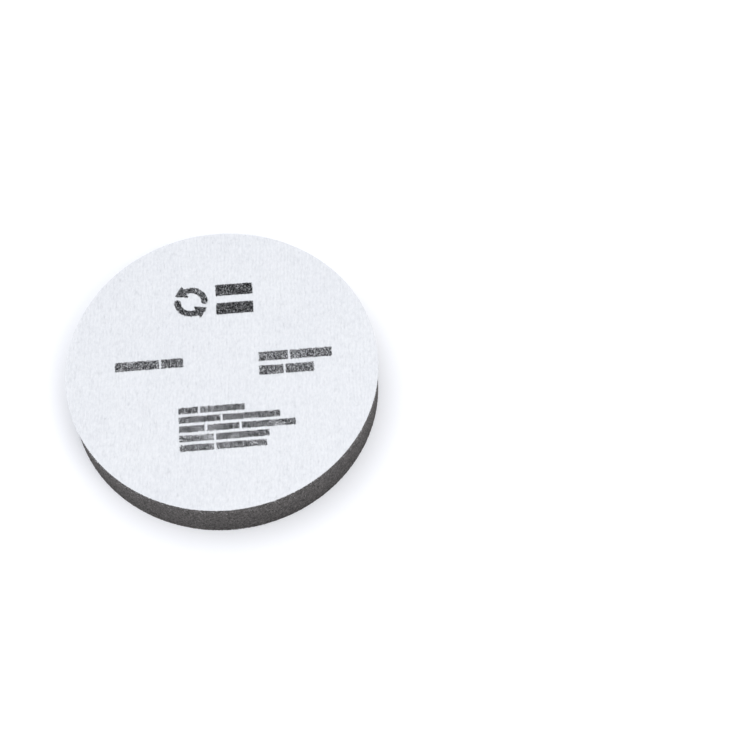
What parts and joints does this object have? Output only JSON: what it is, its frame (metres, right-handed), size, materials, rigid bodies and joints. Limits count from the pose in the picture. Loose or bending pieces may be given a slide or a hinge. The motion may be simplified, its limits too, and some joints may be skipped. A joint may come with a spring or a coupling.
{
  "type": "polishing pad",
  "caption": "Flat round foam polishing pad: a die-cut open-cell foam disc bonded to a printed, brushed loop fabric that grips a hook-faced backing plate.",
  "frame": {"origin": "centre of the foam's working face, on the surface that the pad rests on", "axes": "+Z along the pad's axis, from the foam's working face to the loop face; +X to the right and +Y up the printed face, whose lines rise 5 degrees to the right"},
  "size_m": [0.15, 0.15, 0.0256],
  "materials": {
    "foam": "matte",
    "bond": "matte",
    "ground_fabric": "matte",
    "loop_pile": "matte",
    "ink": "matte"
  },
  "bodies": {
    "foam": {"foam_disc": "foam"},
    "backing": {"bond_film": "bond", "loop_ground_fabric": "ground_fabric", "loop_pile": "loop_pile", "printed_marks": "ink"}
  },
  "joints": [
    {"name": "foam_compression", "type": "slide", "parent": "foam", "child": "backing", "axis": [0, 0, -1], "range_m": [0, 0.01], "stiffness_N_per_m": 6000, "deforming": ["foam_disc"]}
  ]
}
